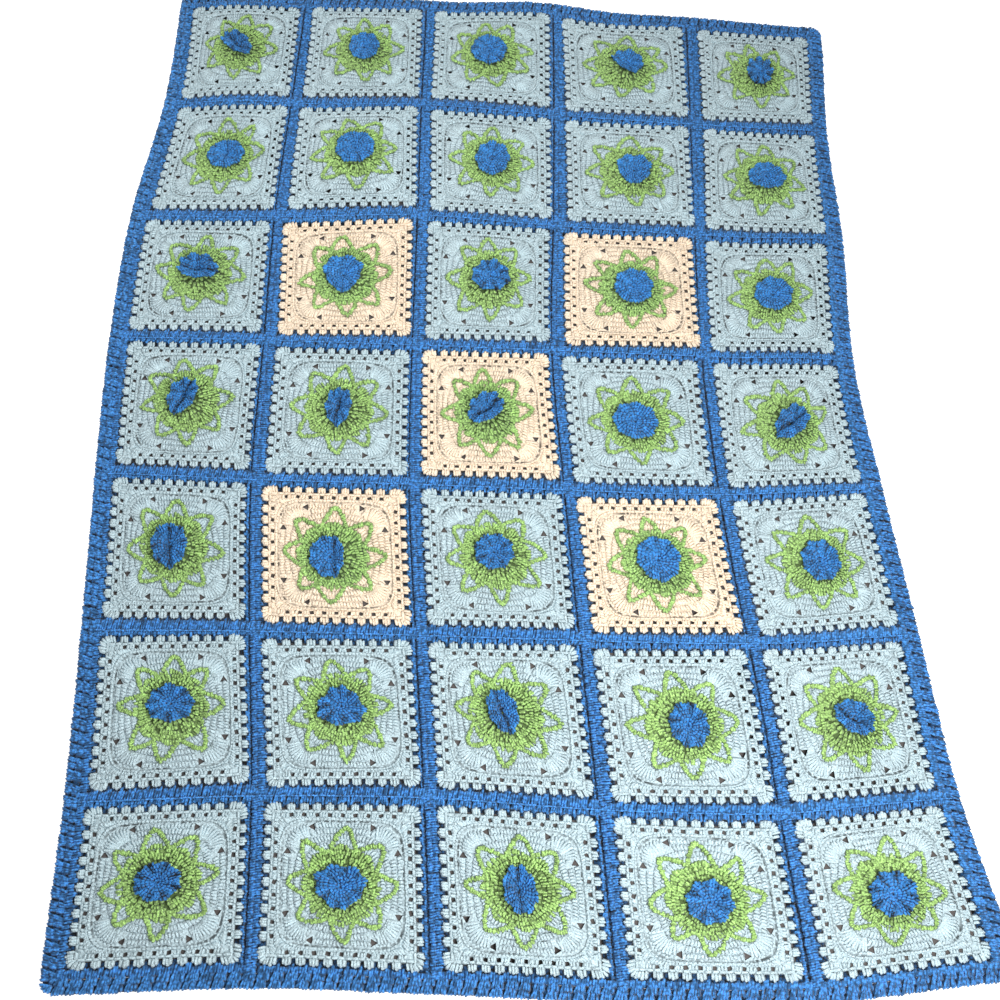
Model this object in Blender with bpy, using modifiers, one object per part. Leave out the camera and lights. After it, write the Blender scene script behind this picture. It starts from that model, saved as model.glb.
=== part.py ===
"""Granny square blanket, in metres, +Z up, lying on the ground plane.

Thirty-five crocheted squares, each with a raised flower in a star of eight leaves, lie in a lattice of
joining bands with a raised seam, and a border runs round the outside. Every piece is first made flat and
even, in its own simple sizes, and is then laid out by one function, lay(), which gives the whole blanket
its uneven outline, its wandering seams and its low folds.
"""

import math

import bmesh
import bpy

MM = 0.001

# Driving dimensions, in metres.
COLUMNS = 5
ROWS = 7
PITCH = 197 * MM  # from one seam to the next
SQUARE = 180 * MM  # side of a square, inside its band
BORDER = 16 * MM  # from the outermost band to the blanket's edge
CORNER = 15 * MM  # how far the blanket's corners are rounded off
SHEET = 3 * MM  # thickness of the crochet
SEAM_RISE = 1.3 * MM  # how far the seam's ridge stands above the bands
GAP = 0.3 * MM  # between neighbouring pieces

# The eight triangular gaps of a square, two at each corner.
HOLE_REACH = 62 * MM  # from the middle of the square to a gap, towards its side
HOLE_ASIDE = 34 * MM  # and along that side
HOLE_SIZE = 5.2 * MM  # from a gap's centre to its points

# The star of leaves and the flower on it.
LEAVES = 8
LEAF_TIP = 63 * MM
LEAF_NOTCH = 43 * MM
LEAF_TOP = 6.5 * MM  # above the underside of the sheet
PETALS = 8
FLOWER_FOOT = 17 * MM
FLOWER_RADIUS = 26 * MM
FLOWER_TOP = 14 * MM
HEART_DROP = 3 * MM  # the hollow in the middle of the flower
PETAL_NOTCH = 0.88  # of the flower's radius, between two petals
SUNK = 1.5 * MM  # how deep a raised form is set into what carries it

# How the flowers are folded. Lengths along the fold are in parts of the flower's radius.
SIDE_FOLD_START = 0.15  # from the heart, where a side that is folded up begins to rise
SIDE_FOLD_IN = 0.55
SIDE_FOLD_RISE = 8 * MM
HALF_FOLD_IN = 0.42
HALF_FOLD_RISE = 7 * MM
RUFFLE_IN = 0.12
RUFFLE_RISE = 3 * MM

# A square is cut by these lines, in parts of its side from the middle, so that it can follow a fold.
CUTS = (-0.5, -0.145, 0.145, 0.5)

# The flowers, a row for each row of squares from the far edge, a column for each column from the left.
# D is an open disc, C has one side folded up, F is folded in half and R is a ruffled rosette. The number is
# the way the fold faces, as an hour on a clock with 12 at the far edge.
FLOWERS = (
    "F2 D0 C3 C7 D0",
    "D0 D0 C1 D0 C6",
    "F6 F9 C6 D0 D0",
    "F9 F3 F1 D0 F2",
    "C3 C3 R3 D0 D0",
    "R0 C11 F3 R0 R1",
    "D0 R0 F3 R1 R0",
)
# How far the star of leaves is turned on each square, in degrees.
STAR_TURNS = (
    (-8, 3, 10, -4, 6),
    (5, 9, -2, 3, -6),
    (-4, 2, 4, 0, 7),
    (8, -5, 3, 2, 10),
    (0, -3, 7, 4, -5),
    (-2, 6, -7, 5, 3),
    (9, 0, 4, 2, -9),
)
PEACH_SQUARES = ((3, 2), (3, 4), (4, 3), (5, 2), (5, 4))  # row, column

# How far each crossing of the seams lies from an even lattice, as (right, away) in millimetres. A row for
# each seam across the blanket, from the near edge to the far one, a column for each seam from the left.
CROSSINGS = (
    ((3, 12), (10, 14), (11, 3), (13, -10), (27, -16), (39, 1)),
    ((5, 3), (7, 6), (4, 0), (5, -17), (14, -25), (9, -12)),
    ((1, 7), (-7, 3), (-6, -5), (-6, -14), (0, -22), (-5, -13)),
    ((-6, 16), (-17, 6), (-15, -2), (-15, -12), (-14, -20), (-19, -14)),
    ((-9, 19), (-12, 14), (-12, 6), (-22, -3), (-17, -13), (-30, -23)),
    ((-1, 20), (-8, 18), (-5, 22), (-11, 4), (-8, -11), (-16, -21)),
    ((27, 24), (6, 25), (0, 21), (-1, 7), (4, -9), (-10, -19)),
    ((36, 21), (18, 25), (7, 20), (5, 2), (15, -10), (7, -29)),
)

# Low folds in which the blanket leaves the ground: the middle of each in seams from the left and from the
# near edge, the way it runs in degrees, and its half length, half width and height in millimetres.
FOLDS = (
    ("far left swell", 0.45, 6.55, 105, 260, 130, 12),
    ("far edge swell", 2.85, 7.0, 65, 240, 130, 13),
    ("second seam swell", 1.7, 5.6, 20, 260, 125, 10),
    ("right edge swell", 4.75, 4.2, 80, 330, 115, 9),
    ("near edge pleat", 2.45, 0.1, 95, 180, 105, 8),
    ("near right swell", 4.1, 1.5, 130, 260, 120, 9),
)

PALE_BLUE = (0.577, 0.716, 0.753, 1.0)
PEACH = (0.92, 0.74, 0.57, 1.0)
MID_BLUE = (0.045, 0.156, 0.515, 1.0)


def clear_scene():
    for old in list(bpy.data.objects):
        bpy.data.objects.remove(old)


def yarn(name, colour):
    material = bpy.data.materials.new(name)
    material.use_nodes = True
    shader = material.node_tree.nodes["Principled BSDF"]
    shader.inputs["Base Color"].default_value = colour
    shader.inputs["Roughness"].default_value = 0.9
    shader.inputs["Metallic"].default_value = 0.0
    return material


def collection(name):
    group = bpy.data.collections.new(name)
    bpy.context.scene.collection.children.link(group)
    return group


# How the blanket lies


def between(values, place):
    """The smooth curve through evenly spaced values, read at a place and held past both ends."""
    last = len(values) - 1
    place = min(max(place, 0.0), last)
    start = min(int(place), last - 1)
    t = place - start
    before = values[max(start - 1, 0)]
    here = values[start]
    there = values[start + 1]
    after = values[min(start + 2, last)]
    bend = 2 * before - 5 * here + 4 * there - after
    twist = 3 * (here - there) + after - before
    return here + 0.5 * t * (there - before + t * (bend + t * twist))


def drift(u, v, axis):
    """How far the point u seams from the left and v seams from the near edge lies off its even place."""
    columns = [between([row[c][axis] for row in CROSSINGS], v) for c in range(COLUMNS + 1)]
    return between(columns, u) * MM


def bump(t):
    return math.cos(0.5 * math.pi * t) ** 2 if abs(t) < 1 else 0.0


def lift(u, v):
    """The height of the blanket's underside above the ground: 0 but for the folds."""
    height = 0.0
    for _, fold_u, fold_v, direction, half_length, half_width, rise in FOLDS:
        right = (u - fold_u) * PITCH
        away = (v - fold_v) * PITCH
        turn = math.radians(direction)
        along = right * math.cos(turn) + away * math.sin(turn)
        aside = away * math.cos(turn) - right * math.sin(turn)
        height += rise * MM * bump(along / (half_length * MM)) * bump(aside / (half_width * MM))
    return height


def place(u, v):
    """Where the point (u, v) lies, seen from above, before the blanket is centred."""
    return (u - COLUMNS / 2) * PITCH + drift(u, v, 0), (v - ROWS / 2) * PITCH + drift(u, v, 1)


def middle():
    """The middle of the blanket's outline, seen from above."""
    edge = BORDER / PITCH
    left, right, near, far = -edge, COLUMNS + edge, -edge, ROWS + edge
    outline = [place(u, v) for v in range(ROWS + 1) for u in (left, right)]
    outline += [place(u, v) for u in range(COLUMNS + 1) for v in (near, far)]
    across = [point[0] for point in outline]
    along = [point[1] for point in outline]
    return (min(across) + max(across)) / 2, (min(along) + max(along)) / 2


def lay(mesh, u0, v0, centre):
    """Lays a flat mesh, whose origin is u0 seams from the left and v0 from the near edge."""
    for vertex in mesh.vertices:
        x, y, height = vertex.co
        u = u0 + x / PITCH
        v = v0 + y / PITCH
        right, away = place(u, v)
        vertex.co = (right - centre[0], away - centre[1], lift(u, v) + height)


# Making flat, even pieces


def flat_grid(name, lines_x, lines_y, keep):
    """A flat sheet cut by the given lines, with only the cells whose middle passes keep(x, y)."""
    bm = bmesh.new()
    cells_x = len(lines_x) - 1
    cells_y = len(lines_y) - 1
    bmesh.ops.create_grid(bm, x_segments=cells_x, y_segments=cells_y, size=0.5)
    for vertex in bm.verts:
        column = round((vertex.co.x + 0.5) * cells_x)
        row = round((vertex.co.y + 0.5) * cells_y)
        vertex.co.x = lines_x[column]
        vertex.co.y = lines_y[row]
    dropped = [face for face in bm.faces if not keep(*face.calc_center_median().xy)]
    bmesh.ops.delete(bm, geom=dropped, context="FACES")
    mesh = bpy.data.meshes.new(name)
    bm.to_mesh(mesh)
    bm.free()
    return mesh


def thing(name, mesh, group, is_form=False):
    made = bpy.data.objects.new(name, mesh)
    group.objects.link(made)
    if is_form:
        made.hide_render = True
        made.display_type = "WIRE"
    return made


def thicken(made):
    solid = made.modifiers.new("thickness", "SOLIDIFY")
    solid.thickness = SHEET
    solid.offset = 1.0
    return made


def combine(made, other, operation):
    step = made.modifiers.new(operation.lower(), "BOOLEAN")
    step.operation = operation
    step.solver = "EXACT"
    step.object = other
    return made


def settled(made):
    """The mesh of an object with its modifiers worked in."""
    bpy.context.view_layer.update()
    graph = bpy.context.evaluated_depsgraph_get()
    return bpy.data.meshes.new_from_object(made.evaluated_get(graph))


def cut_in_triangles(mesh, corners=None):
    """Rounds the given corners, if any, and cuts all faces into triangles."""
    bm = bmesh.new()
    bm.from_mesh(mesh)
    if corners:
        posts = [edge for edge in bm.edges if is_corner_post(edge, *corners)]
        bmesh.ops.bevel(bm, geom=posts, offset=CORNER, segments=3, profile=0.5, affect="EDGES")
    bmesh.ops.triangulate(bm, faces=bm.faces, quad_method="BEAUTY", ngon_method="BEAUTY")
    bm.to_mesh(mesh)
    bm.free()


def prism(bm, sides, radius, low, high):
    """Adds an upright prism to bm and returns its vertices."""
    made = bmesh.ops.create_cone(
        bm, cap_ends=True, cap_tris=False, segments=sides, radius1=radius, radius2=radius, depth=high - low
    )
    bmesh.ops.translate(bm, verts=made["verts"], vec=(0, 0, (low + high) / 2))
    return made["verts"]


def turned(vertex, degrees):
    angle = math.radians(degrees)
    x, y = vertex.co.x, vertex.co.y
    vertex.co.x = x * math.cos(angle) - y * math.sin(angle)
    vertex.co.y = x * math.sin(angle) + y * math.cos(angle)


def holes_form(group):
    """The eight triangular prisms that cut a square's gaps, each with its point away from the corner."""
    bm = bmesh.new()
    for side in range(4):
        for hand in (-1, 1):
            verts = prism(bm, 3, HOLE_SIZE, -SHEET, 2 * SHEET)
            point = math.degrees(math.atan2(verts[0].co.y, verts[0].co.x))
            for vertex in verts:
                turned(vertex, -90 * hand - point)
                vertex.co.x += HOLE_REACH
                vertex.co.y += hand * HOLE_ASIDE
                turned(vertex, 90 * side)
    mesh = bpy.data.meshes.new("holes")
    bm.to_mesh(mesh)
    bm.free()
    return thing("holes_form", mesh, group, is_form=True)


def wave_radius(vertex, outer, inner, points):
    """Puts a prism's vertex on the outer radius or the inner one, in turn, with a point at 12 o'clock."""
    step = round((math.atan2(vertex.co.y, vertex.co.x) / math.pi + 1) * points)
    radius = outer if step % 2 == 0 else inner
    angle = (step / points - 1) * math.pi
    vertex.co.x = radius * math.cos(angle)
    vertex.co.y = radius * math.sin(angle)


def star_form(group, turn):
    """The star of leaves, with eight points, set a little into the sheet."""
    bm = bmesh.new()
    for vertex in prism(bm, 2 * LEAVES, LEAF_TIP, SHEET - SUNK, LEAF_TOP):
        wave_radius(vertex, LEAF_TIP, LEAF_NOTCH, LEAVES)
        turned(vertex, turn)
    mesh = bpy.data.meshes.new("star")
    bm.to_mesh(mesh)
    bm.free()
    return thing("star_form", mesh, group, is_form=True)


def shape_petal(vertex, kind, hour):
    """Moves a point of the flower's upper side, which starts as an even disc with eight petals."""
    clock = math.radians(90 - 30 * hour)
    facing = (vertex.co.x * math.cos(clock) + vertex.co.y * math.sin(clock)) / FLOWER_RADIUS
    if kind == "C":
        folded = max(0.0, facing - SIDE_FOLD_START)
        drawn_in = SIDE_FOLD_IN * folded * FLOWER_RADIUS
        vertex.co.z += SIDE_FOLD_RISE * folded
    elif kind == "F":
        drawn_in = HALF_FOLD_IN * facing * FLOWER_RADIUS
        vertex.co.z += HALF_FOLD_RISE * abs(facing)
    else:
        drawn_in = 0.0
    if kind == "R":
        reach = math.hypot(vertex.co.x, vertex.co.y) / FLOWER_RADIUS
        every_other = math.cos(0.5 * PETALS * math.atan2(vertex.co.y, vertex.co.x))
        vertex.co.z += RUFFLE_RISE * reach * every_other
        vertex.co.x *= 1 - RUFFLE_IN
        vertex.co.y *= 1 - RUFFLE_IN
    vertex.co.x -= drawn_in * math.cos(clock)
    vertex.co.y -= drawn_in * math.sin(clock)


def flower_form(group, kind, hour):
    """The flower: a cone that widens upwards from its foot, with petals round its rim and a hollow."""
    bm = bmesh.new()
    low = LEAF_TOP - SUNK
    verts = prism(bm, 2 * PETALS, FLOWER_RADIUS, low, FLOWER_TOP)
    upper = [vertex for vertex in verts if vertex.co.z > (low + FLOWER_TOP) / 2]
    for vertex in verts:
        if vertex in upper:
            wave_radius(vertex, FLOWER_RADIUS, FLOWER_RADIUS * PETAL_NOTCH, PETALS)
        else:
            wave_radius(vertex, FLOWER_FOOT, FLOWER_FOOT, PETALS)
    cap = [face for face in bm.faces if all(vertex in upper for vertex in face.verts)]
    heart = bmesh.ops.poke(bm, faces=cap)["verts"][0]
    heart.co.z -= HEART_DROP
    for vertex in upper + [heart]:
        shape_petal(vertex, kind, hour)
    mesh = bpy.data.meshes.new("flower")
    bm.to_mesh(mesh)
    bm.free()
    return thing("flower_form", mesh, group, is_form=True)


def square(row, column, group, forms, holes, material, centre):
    """One granny square, worked flat with its gaps, star and flower, then laid in its place."""
    lines = [cut * SQUARE for cut in CUTS]
    sheet = thicken(thing("sheet", flat_grid("sheet", lines, lines, lambda x, y: True), forms))
    entry = FLOWERS[row - 1].split()[column - 1]
    star = star_form(forms, STAR_TURNS[row - 1][column - 1])
    flower = flower_form(forms, entry[0], int(entry[1:]))
    combine(sheet, holes, "DIFFERENCE")
    combine(sheet, star, "UNION")
    combine(sheet, flower, "UNION")
    mesh = settled(sheet)
    cut_in_triangles(mesh)
    for spent in (sheet, star, flower):
        bpy.data.objects.remove(spent)
    name = f"square_r{row}_c{column}"
    mesh.name = name
    lay(mesh, column - 0.5, ROWS - row + 0.5, centre)
    mesh.materials.clear()
    mesh.materials.append(material)
    return thing(name, mesh, group)


def band_lines(count):
    """Where the lattice is cut across: at the squares' own lines and along each seam."""
    lines = [0.0]
    for number in range(count):
        middle_of_square = (number + 0.5) * PITCH
        lines += [middle_of_square + cut * (SQUARE + 2 * GAP) for cut in CUTS]
        lines.append((number + 1) * PITCH)
    return lines


def in_a_window(x, y):
    reach = SQUARE / 2
    from_x = abs(x % PITCH - PITCH / 2)
    from_y = abs(y % PITCH - PITCH / 2)
    return from_x < reach and from_y < reach


def joining_bands(group, material, centre):
    """The lattice between the squares, with a ridge along each seam that two squares share."""
    width = COLUMNS * PITCH
    length = ROWS * PITCH
    flat = flat_grid("joining_bands", band_lines(COLUMNS), band_lines(ROWS), lambda x, y: not in_a_window(x, y))
    made = thicken(thing("joining_bands_flat", flat, group))
    mesh = settled(made)
    cut_in_triangles(mesh)
    bpy.data.objects.remove(made)
    for vertex in mesh.vertices:
        x, y, z = vertex.co
        on_seam = min(abs(x - PITCH * round(x / PITCH)), abs(y - PITCH * round(y / PITCH))) < GAP
        inside = GAP < x < width - GAP and GAP < y < length - GAP
        if z > SHEET / 2 and on_seam and inside:
            vertex.co.z += SEAM_RISE
    mesh.name = "joining_bands"
    lay(mesh, 0, 0, centre)
    mesh.materials.append(material)
    return thing("joining_bands", mesh, group)


def border(group, material, centre):
    """The border, a flat frame with rounded corners that clears the lattice by the gap."""
    width = COLUMNS * PITCH
    length = ROWS * PITCH
    lines_x = [-BORDER, -GAP] + band_lines(COLUMNS)[1:-1] + [width + GAP, width + BORDER]
    lines_y = [-BORDER, -GAP] + band_lines(ROWS)[1:-1] + [length + GAP, length + BORDER]

    def on_the_frame(x, y):
        return not (0 < x < width and 0 < y < length)

    made = thicken(thing("border_flat", flat_grid("border", lines_x, lines_y, on_the_frame), group))
    mesh = settled(made)
    cut_in_triangles(mesh, corners=(width, length))
    bpy.data.objects.remove(made)
    mesh.name = "border"
    lay(mesh, 0, 0, centre)
    mesh.materials.append(material)
    return thing("border", mesh, group)


def is_corner_post(edge, width, length):
    """Whether an edge is the upright one at an outer corner of the flat border."""
    first, second = (vertex.co for vertex in edge.verts)
    upright = abs(first.x - second.x) + abs(first.y - second.y) < GAP
    at_x = min(abs(first.x + BORDER), abs(first.x - width - BORDER)) < GAP
    at_y = min(abs(first.y + BORDER), abs(first.y - length - BORDER)) < GAP
    return upright and at_x and at_y


def main():
    clear_scene()
    blanket = collection("granny_square_blanket")
    forms = collection("forms")
    pale_blue = yarn("pale_blue_yarn", PALE_BLUE)
    peach = yarn("peach_yarn", PEACH)
    mid_blue = yarn("mid_blue_yarn", MID_BLUE)
    centre = middle()
    holes = holes_form(forms)
    for row in range(1, ROWS + 1):
        for column in range(1, COLUMNS + 1):
            ground = peach if (row, column) in PEACH_SQUARES else pale_blue
            square(row, column, blanket, forms, holes, ground, centre)
    joining_bands(blanket, mid_blue, centre)
    border(blanket, mid_blue, centre)


main()
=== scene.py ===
"""The granny square blanket dressed for its picture, worked stitch by stitch on the folds of its solids."""

import math

import bmesh
import bpy
import numpy as np
from bpy.props import FloatProperty, FloatVectorProperty, PointerProperty
from bpy.types import Operator, Panel, PropertyGroup
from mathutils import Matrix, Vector


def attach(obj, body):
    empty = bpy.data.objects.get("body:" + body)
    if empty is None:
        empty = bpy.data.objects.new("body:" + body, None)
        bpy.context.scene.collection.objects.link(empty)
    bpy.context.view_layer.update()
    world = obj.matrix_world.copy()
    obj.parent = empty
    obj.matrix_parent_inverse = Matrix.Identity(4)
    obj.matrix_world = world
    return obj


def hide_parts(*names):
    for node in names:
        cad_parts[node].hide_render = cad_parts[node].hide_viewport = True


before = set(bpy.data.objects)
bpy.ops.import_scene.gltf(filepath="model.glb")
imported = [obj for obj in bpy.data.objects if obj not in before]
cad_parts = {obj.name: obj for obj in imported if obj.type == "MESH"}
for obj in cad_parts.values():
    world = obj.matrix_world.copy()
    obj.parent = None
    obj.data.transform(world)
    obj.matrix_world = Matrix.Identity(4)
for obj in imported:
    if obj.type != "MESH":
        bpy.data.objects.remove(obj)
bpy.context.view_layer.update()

bl_info = {
    "name": "Granny square blanket",
    "version": (1, 0, 0),
    "blender": (4, 5, 0),
    "location": "3D View > Sidebar > Blanket",
    "description": "Works a joined granny square blanket with flower centres, leaf loops and a border",
    "category": "Object",
}

# The squares, their pitch and the border's width in mm, and the middle of the laid outline, in metres.
MM = 0.001
COLUMNS = 5
ROWS = 7
PITCH = 197.0
EDGE = 16.0
MIDDLE = (0.0150, 0.0045)

# Where the seams cross, in mm to the right and away from an even lattice; rows from the near edge to the far.
CROSSINGS = (
    ((3, 12), (10, 14), (11, 3), (13, -10), (27, -16), (39, 1)),
    ((5, 3), (7, 6), (4, 0), (5, -17), (14, -25), (9, -12)),
    ((1, 7), (-7, 3), (-6, -5), (-6, -14), (0, -22), (-5, -13)),
    ((-6, 16), (-17, 6), (-15, -2), (-15, -12), (-14, -20), (-19, -14)),
    ((-9, 19), (-12, 14), (-12, 6), (-22, -3), (-17, -13), (-30, -23)),
    ((-1, 20), (-8, 18), (-5, 22), (-11, 4), (-8, -11), (-16, -21)),
    ((27, 24), (6, 25), (0, 21), (-1, 7), (4, -9), (-10, -19)),
    ((36, 21), (18, 25), (7, 20), (5, 2), (15, -10), (7, -29)),
)

# Swells of the whole cloth: squares right and away, direction in degrees, half length, half width and height in mm.
FOLDS = (
    (0.45, 6.55, 105, 260, 130, 12),
    (2.85, 7.0, 65, 240, 130, 13),
    (1.7, 5.6, 20, 260, 125, 10),
    (4.75, 4.2, 80, 330, 115, 9),
    (2.45, 0.1, 95, 180, 105, 8),
    (4.1, 1.5, 130, 260, 120, 9),
)

# How each square lies in its cell: degrees anticlockwise, mm to the right, mm away.
SQUARE_PLACES = (
    ((1, -2, -2), (1, -1, 3), (0, -1, 2), (1.5, 0, 0), (1, 3, 0)),
    ((0.5, 1, 0), (1, 1, 1), (1, 1, -2), (1.5, 3, 0), (-1, 3, -2)),
    ((0, -1, 0), (1.5, 0, -1), (1, 1, -1), (1.5, 2, -1), (0, -1, -3)),
    ((0, 1, 1), (0.5, 2, -2), (0.5, 0, 1), (0.5, -2, -1), (0, -1, -3)),
    ((0, -1, 2), (0, 0, -1), (0, 0, 1), (1, 0, -1), (1, 1, -1)),
    ((1, 0, 1), (1, 0, -1), (0.5, 0, 0), (1, 0, -2), (0, -1, -1)),
    ((0, 0, 0), (-0.5, -1, -2), (0, -1, -1), (-0.5, -1, -1), (0, -1, -2)),
)

# How each flower lies: D open, C one side folded up, F folded in half, R a ruffled rosette; then the bearing of its
# long way (or of the side that is folded up), half its length and width in mm, how much wider it is at its far end,
# and how far it leans from the square's middle, in mm right and away.
FLOWERS = (
    (("F", -35, 31, 17, 0, -7, 0), ("D", 90, 27, 24, 0, 0, 5), ("D", 90, 28, 27, 0, -4, 6),
     ("C", 225, 26, 24, 0, 1, 6), ("R", 90, 28, 22, 0.1, 6, 6)),
    (("D", 0, 29, 23, 0, 5, 0), ("D", 0, 28, 28, 0, 0, 5), ("D", 70, 30, 25, 0, 2, 3),
     ("D", 90, 26, 24, 0.25, 6, 1), ("D", 0, 29, 23, -0.25, 6, 6)),
    (("F", -8, 29, 20, 0, -4, 5), ("D", 90, 29, 25, 0.4, -4, -1), ("R", 0, 29, 24, -0.15, 4, 5),
     ("D", 90, 28, 26, 0, 4, 1), ("D", 0, 28, 27, 0, 5, 0)),
    (("F", 65, 28, 18, 0, -6, 5), ("F", 85, 27, 17, 0, 0, 1), ("F", 35, 28, 19, 0, -2, 3),
     ("D", 0, 29, 26, 0, -2, -4), ("F", 42, 31, 19, 0, 7, -3)),
    (("F", 85, 29, 24, 0, -7, 0), ("C", 0, 26, 28, 0, -5, -5), ("R", 30, 26, 24, 0, -2, 6),
     ("D", 90, 30, 27, 0.1, 2, 5), ("R", 90, 28, 26, 0, 7, 0)),
    (("R", 0, 29, 23, -0.1, 0, 6), ("R", 0, 28, 25, -0.4, 2, 5), ("F", 105, 28, 18, 0, -7, 4),
     ("R", 90, 27, 23, 0, 7, -1), ("F", -30, 27, 20, 0, 6, -1)),
    (("R", 0, 26, 23, 0, -2, 1), ("R", 0, 29, 25, 0.3, -2, -5), ("F", 95, 28, 19, -0.1, -2, 0),
     ("R", 45, 27, 25, 0, 2, -4), ("R", 0, 28, 27, 0, 2, -5)),
)

# How far each square's star of leaves is turned, in degrees anticlockwise.
STAR_TURNS = (
    (-8, 3, 10, -4, 6),
    (5, 9, -2, 3, -6),
    (-4, 2, 4, 0, 7),
    (8, -5, 3, 2, 10),
    (0, -3, 7, 4, -5),
    (-2, 6, -7, 5, 3),
    (9, 0, 4, 2, -9),
)

# Row and column of the squares with a peach ground.
PEACH_SQUARES = ((3, 2), (3, 4), (4, 3), (5, 2), (5, 4))

# Each kind of flower: how high its petals stand and how far their corners draw in, in mm; how dark its painted shade
# between petals is.
KINDS = {"D": (2.6, 2.8, 0.45), "C": (3.2, 4.0, 0.6), "F": (3.2, 4.0, 0.6), "R": (6.5, 6.5, 1.0)}

# One stitch of three sides, as two rings: place along it, width and height.
STITCH_RINGS = ((0.2, 0.95, 0.95), (0.8, 1.0, 1.0))

# One square, flat, in mm from its middle.
TOOTH_STEP = 14.6
TEETH = 11
TOOTH_TIP = 90.0
TOOTH_FOOT = 79.6
ROUND_HEAD = 78.8
ROUND_HOLE = 75.3
RIDGE = 70.6
RIDGE_POWER = 5.3
GROOVE = 68.2
# how many painted shadow dashes lie round the groove
GROOVE_DASHES = 58
FAN = 36.0
GROUND_START = 40.5
GROUND_ROUNDS = (0.0, 0.27, 0.53, 0.78, 1.0)
HOLES = tuple((sx * x, sy * y) for x, y in ((34, 62), (62, 34)) for sx in (1, -1) for sy in (1, -1))
HOLE_SIZE = 5.2
HOLE_ROOM = 4.0
BASE_HALF = 80.8
BASE_MIDDLE = 2.5
BASE_THICK = 0.8
LEAVES = 8
PUCKER_RISE, PUCKER_AT, PUCKER_HALF = 3.2, 54, 9
PETALS = 8
FLOWER_RADIUS = 28.5
FOLD_START = 6.0
PAD_RADIUS = 26.0
PAD_DROP = 1.3

# The bands and the border, in mm.
CELL_STITCHES = 67
LATTICE_CUTS, LATTICE_INNER = 12, 5
SHEET_MIDDLE = 1.3
SHEET_THICK = 1.0
CLUSTER = 4
RIGHT, FAR, LEFT, NEAR = range(4)

# The stage, in metres and degrees.
FLOOR_SIZE = 60.0
FLOOR_HEIGHT = -0.0004
SHADE_HEIGHT = -0.0002
CAMERA_PLACE = (-0.08489, -0.74416, 1.37226)
CAMERA_TURNS = (24.1694, -2.0953, -1.4608)


def spots(x, y, z):
    """Points from their places, each an array or one number."""
    return np.stack(np.broadcast_arrays(x, y, z), axis=-1)


def cos_sin(degrees):
    return math.cos(math.radians(degrees)), math.sin(math.radians(degrees))


def catmull(before, start, end, after, t):
    """A smooth run from start to end."""
    bend = 2 * before - 5 * start + 4 * end - after
    twist = 3 * (start - end) + after - before
    return start + 0.5 * t * (end - before + t * (bend + t * twist))


def drift(u, v):
    """How far the cloth is pulled aside at (u, v) in squares, in mm."""
    table = np.array(CROSSINGS, float)
    v = np.clip(v, 0, ROWS)
    i = np.minimum(v.astype(int), ROWS - 1)
    rows = [table[np.clip(i + k, 0, ROWS)] for k in (-1, 0, 1, 2)]
    across = catmull(*rows, (v - i)[:, None, None])
    u = np.clip(u, 0, COLUMNS)
    j = np.minimum(u.astype(int), COLUMNS - 1)
    pick = [np.clip(j + k, 0, COLUMNS) for k in (-1, 0, 1, 2)]
    points = [np.take_along_axis(across, q[:, None, None], axis=1)[:, 0, :] for q in pick]
    return catmull(*points, (u - j)[:, None])


def bump(t):
    return np.where(np.abs(t) < 1, np.cos(0.5 * np.pi * t) ** 2, 0.0)


def swell(u, v):
    """Height of the folds at (u, v), in mm."""
    height = np.zeros_like(u)
    for across, away, degrees, half_length, half_width, rise in FOLDS:
        c, s = cos_sin(degrees)
        x, y = (u - across) * PITCH, (v - away) * PITCH
        height += rise * bump((x * c + y * s) / half_length) * bump((y * c - x * s) / half_width)
    return height


def lay(points, u0=0.0, v0=0.0):
    """Flat points in mm, laid on the blanket's folds in the frame, in metres."""
    u = u0 + points[:, 0] / PITCH
    v = v0 + points[:, 1] / PITCH
    aside = drift(u, v)
    x = (u - COLUMNS / 2) * PITCH + aside[:, 0] - MIDDLE[0] / MM
    y = (v - ROWS / 2) * PITCH + aside[:, 1] - MIDDLE[1] / MM
    return spots(x, y, swell(u, v) + points[:, 2]) * MM


def lay_from_middle(points):
    return lay(points, COLUMNS / 2, ROWS / 2)


def turned(points, degrees):
    """Flat points turned about the middle."""
    c, s = cos_sin(degrees)
    x, y, z = np.array(points, float).T
    return spots(x * c - y * s, x * s + y * c, z)


def at_square(points, row, column):
    """Flat points of a square, in mm from its middle, laid where it lies, puckered up between the leaves."""
    turn, right, away = SQUARE_PLACES[row - 1][column - 1]
    x, y, z = points.T
    angle, radius = np.arctan2(y, x), np.hypot(x, y)
    between = 0.5 - 0.5 * np.cos(LEAVES * (angle - math.radians(90 + STAR_TURNS[row - 1][column - 1])))
    uneven = 0.65 + 0.35 * np.sin(3 * angle + 2.1 * row + 1.3 * column)
    z = z + PUCKER_RISE * uneven * between * np.exp(-(((radius - PUCKER_AT) / PUCKER_HALF) ** 2))
    return lay(turned(spots(x, y, z), turn) + (right, away, 0.0), column - 0.5, ROWS - row + 0.5)


def added(primitive, **settings):
    """A new primitive, with nothing else selected."""
    bpy.ops.object.select_all(action="DESELECT")
    primitive(**settings)
    return bpy.context.object


def edit(kind="VERT"):
    """Edit mode starts, with everything selected."""
    bpy.ops.object.mode_set(mode="EDIT")
    bpy.ops.mesh.select_mode(type=kind)
    bpy.ops.mesh.select_all(action="SELECT")


def pick(made, kind, wanted):
    """In edit mode, only the verts, edges or faces for which wanted holds are selected."""
    bpy.ops.mesh.select_all(action="DESELECT")
    bm = bmesh.from_edit_mesh(made.data)
    for part in getattr(bm, kind):
        part.select_set(bool(wanted(part)))
    bm.select_flush_mode()
    bmesh.update_edit_mesh(made.data)


def move_all(*offset):
    """Everything is moved, in mm, and edit mode ends."""
    bpy.ops.mesh.select_all(action="SELECT")
    bpy.ops.transform.translate(value=[part * MM for part in offset])
    bpy.ops.object.mode_set(mode="OBJECT")


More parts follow.
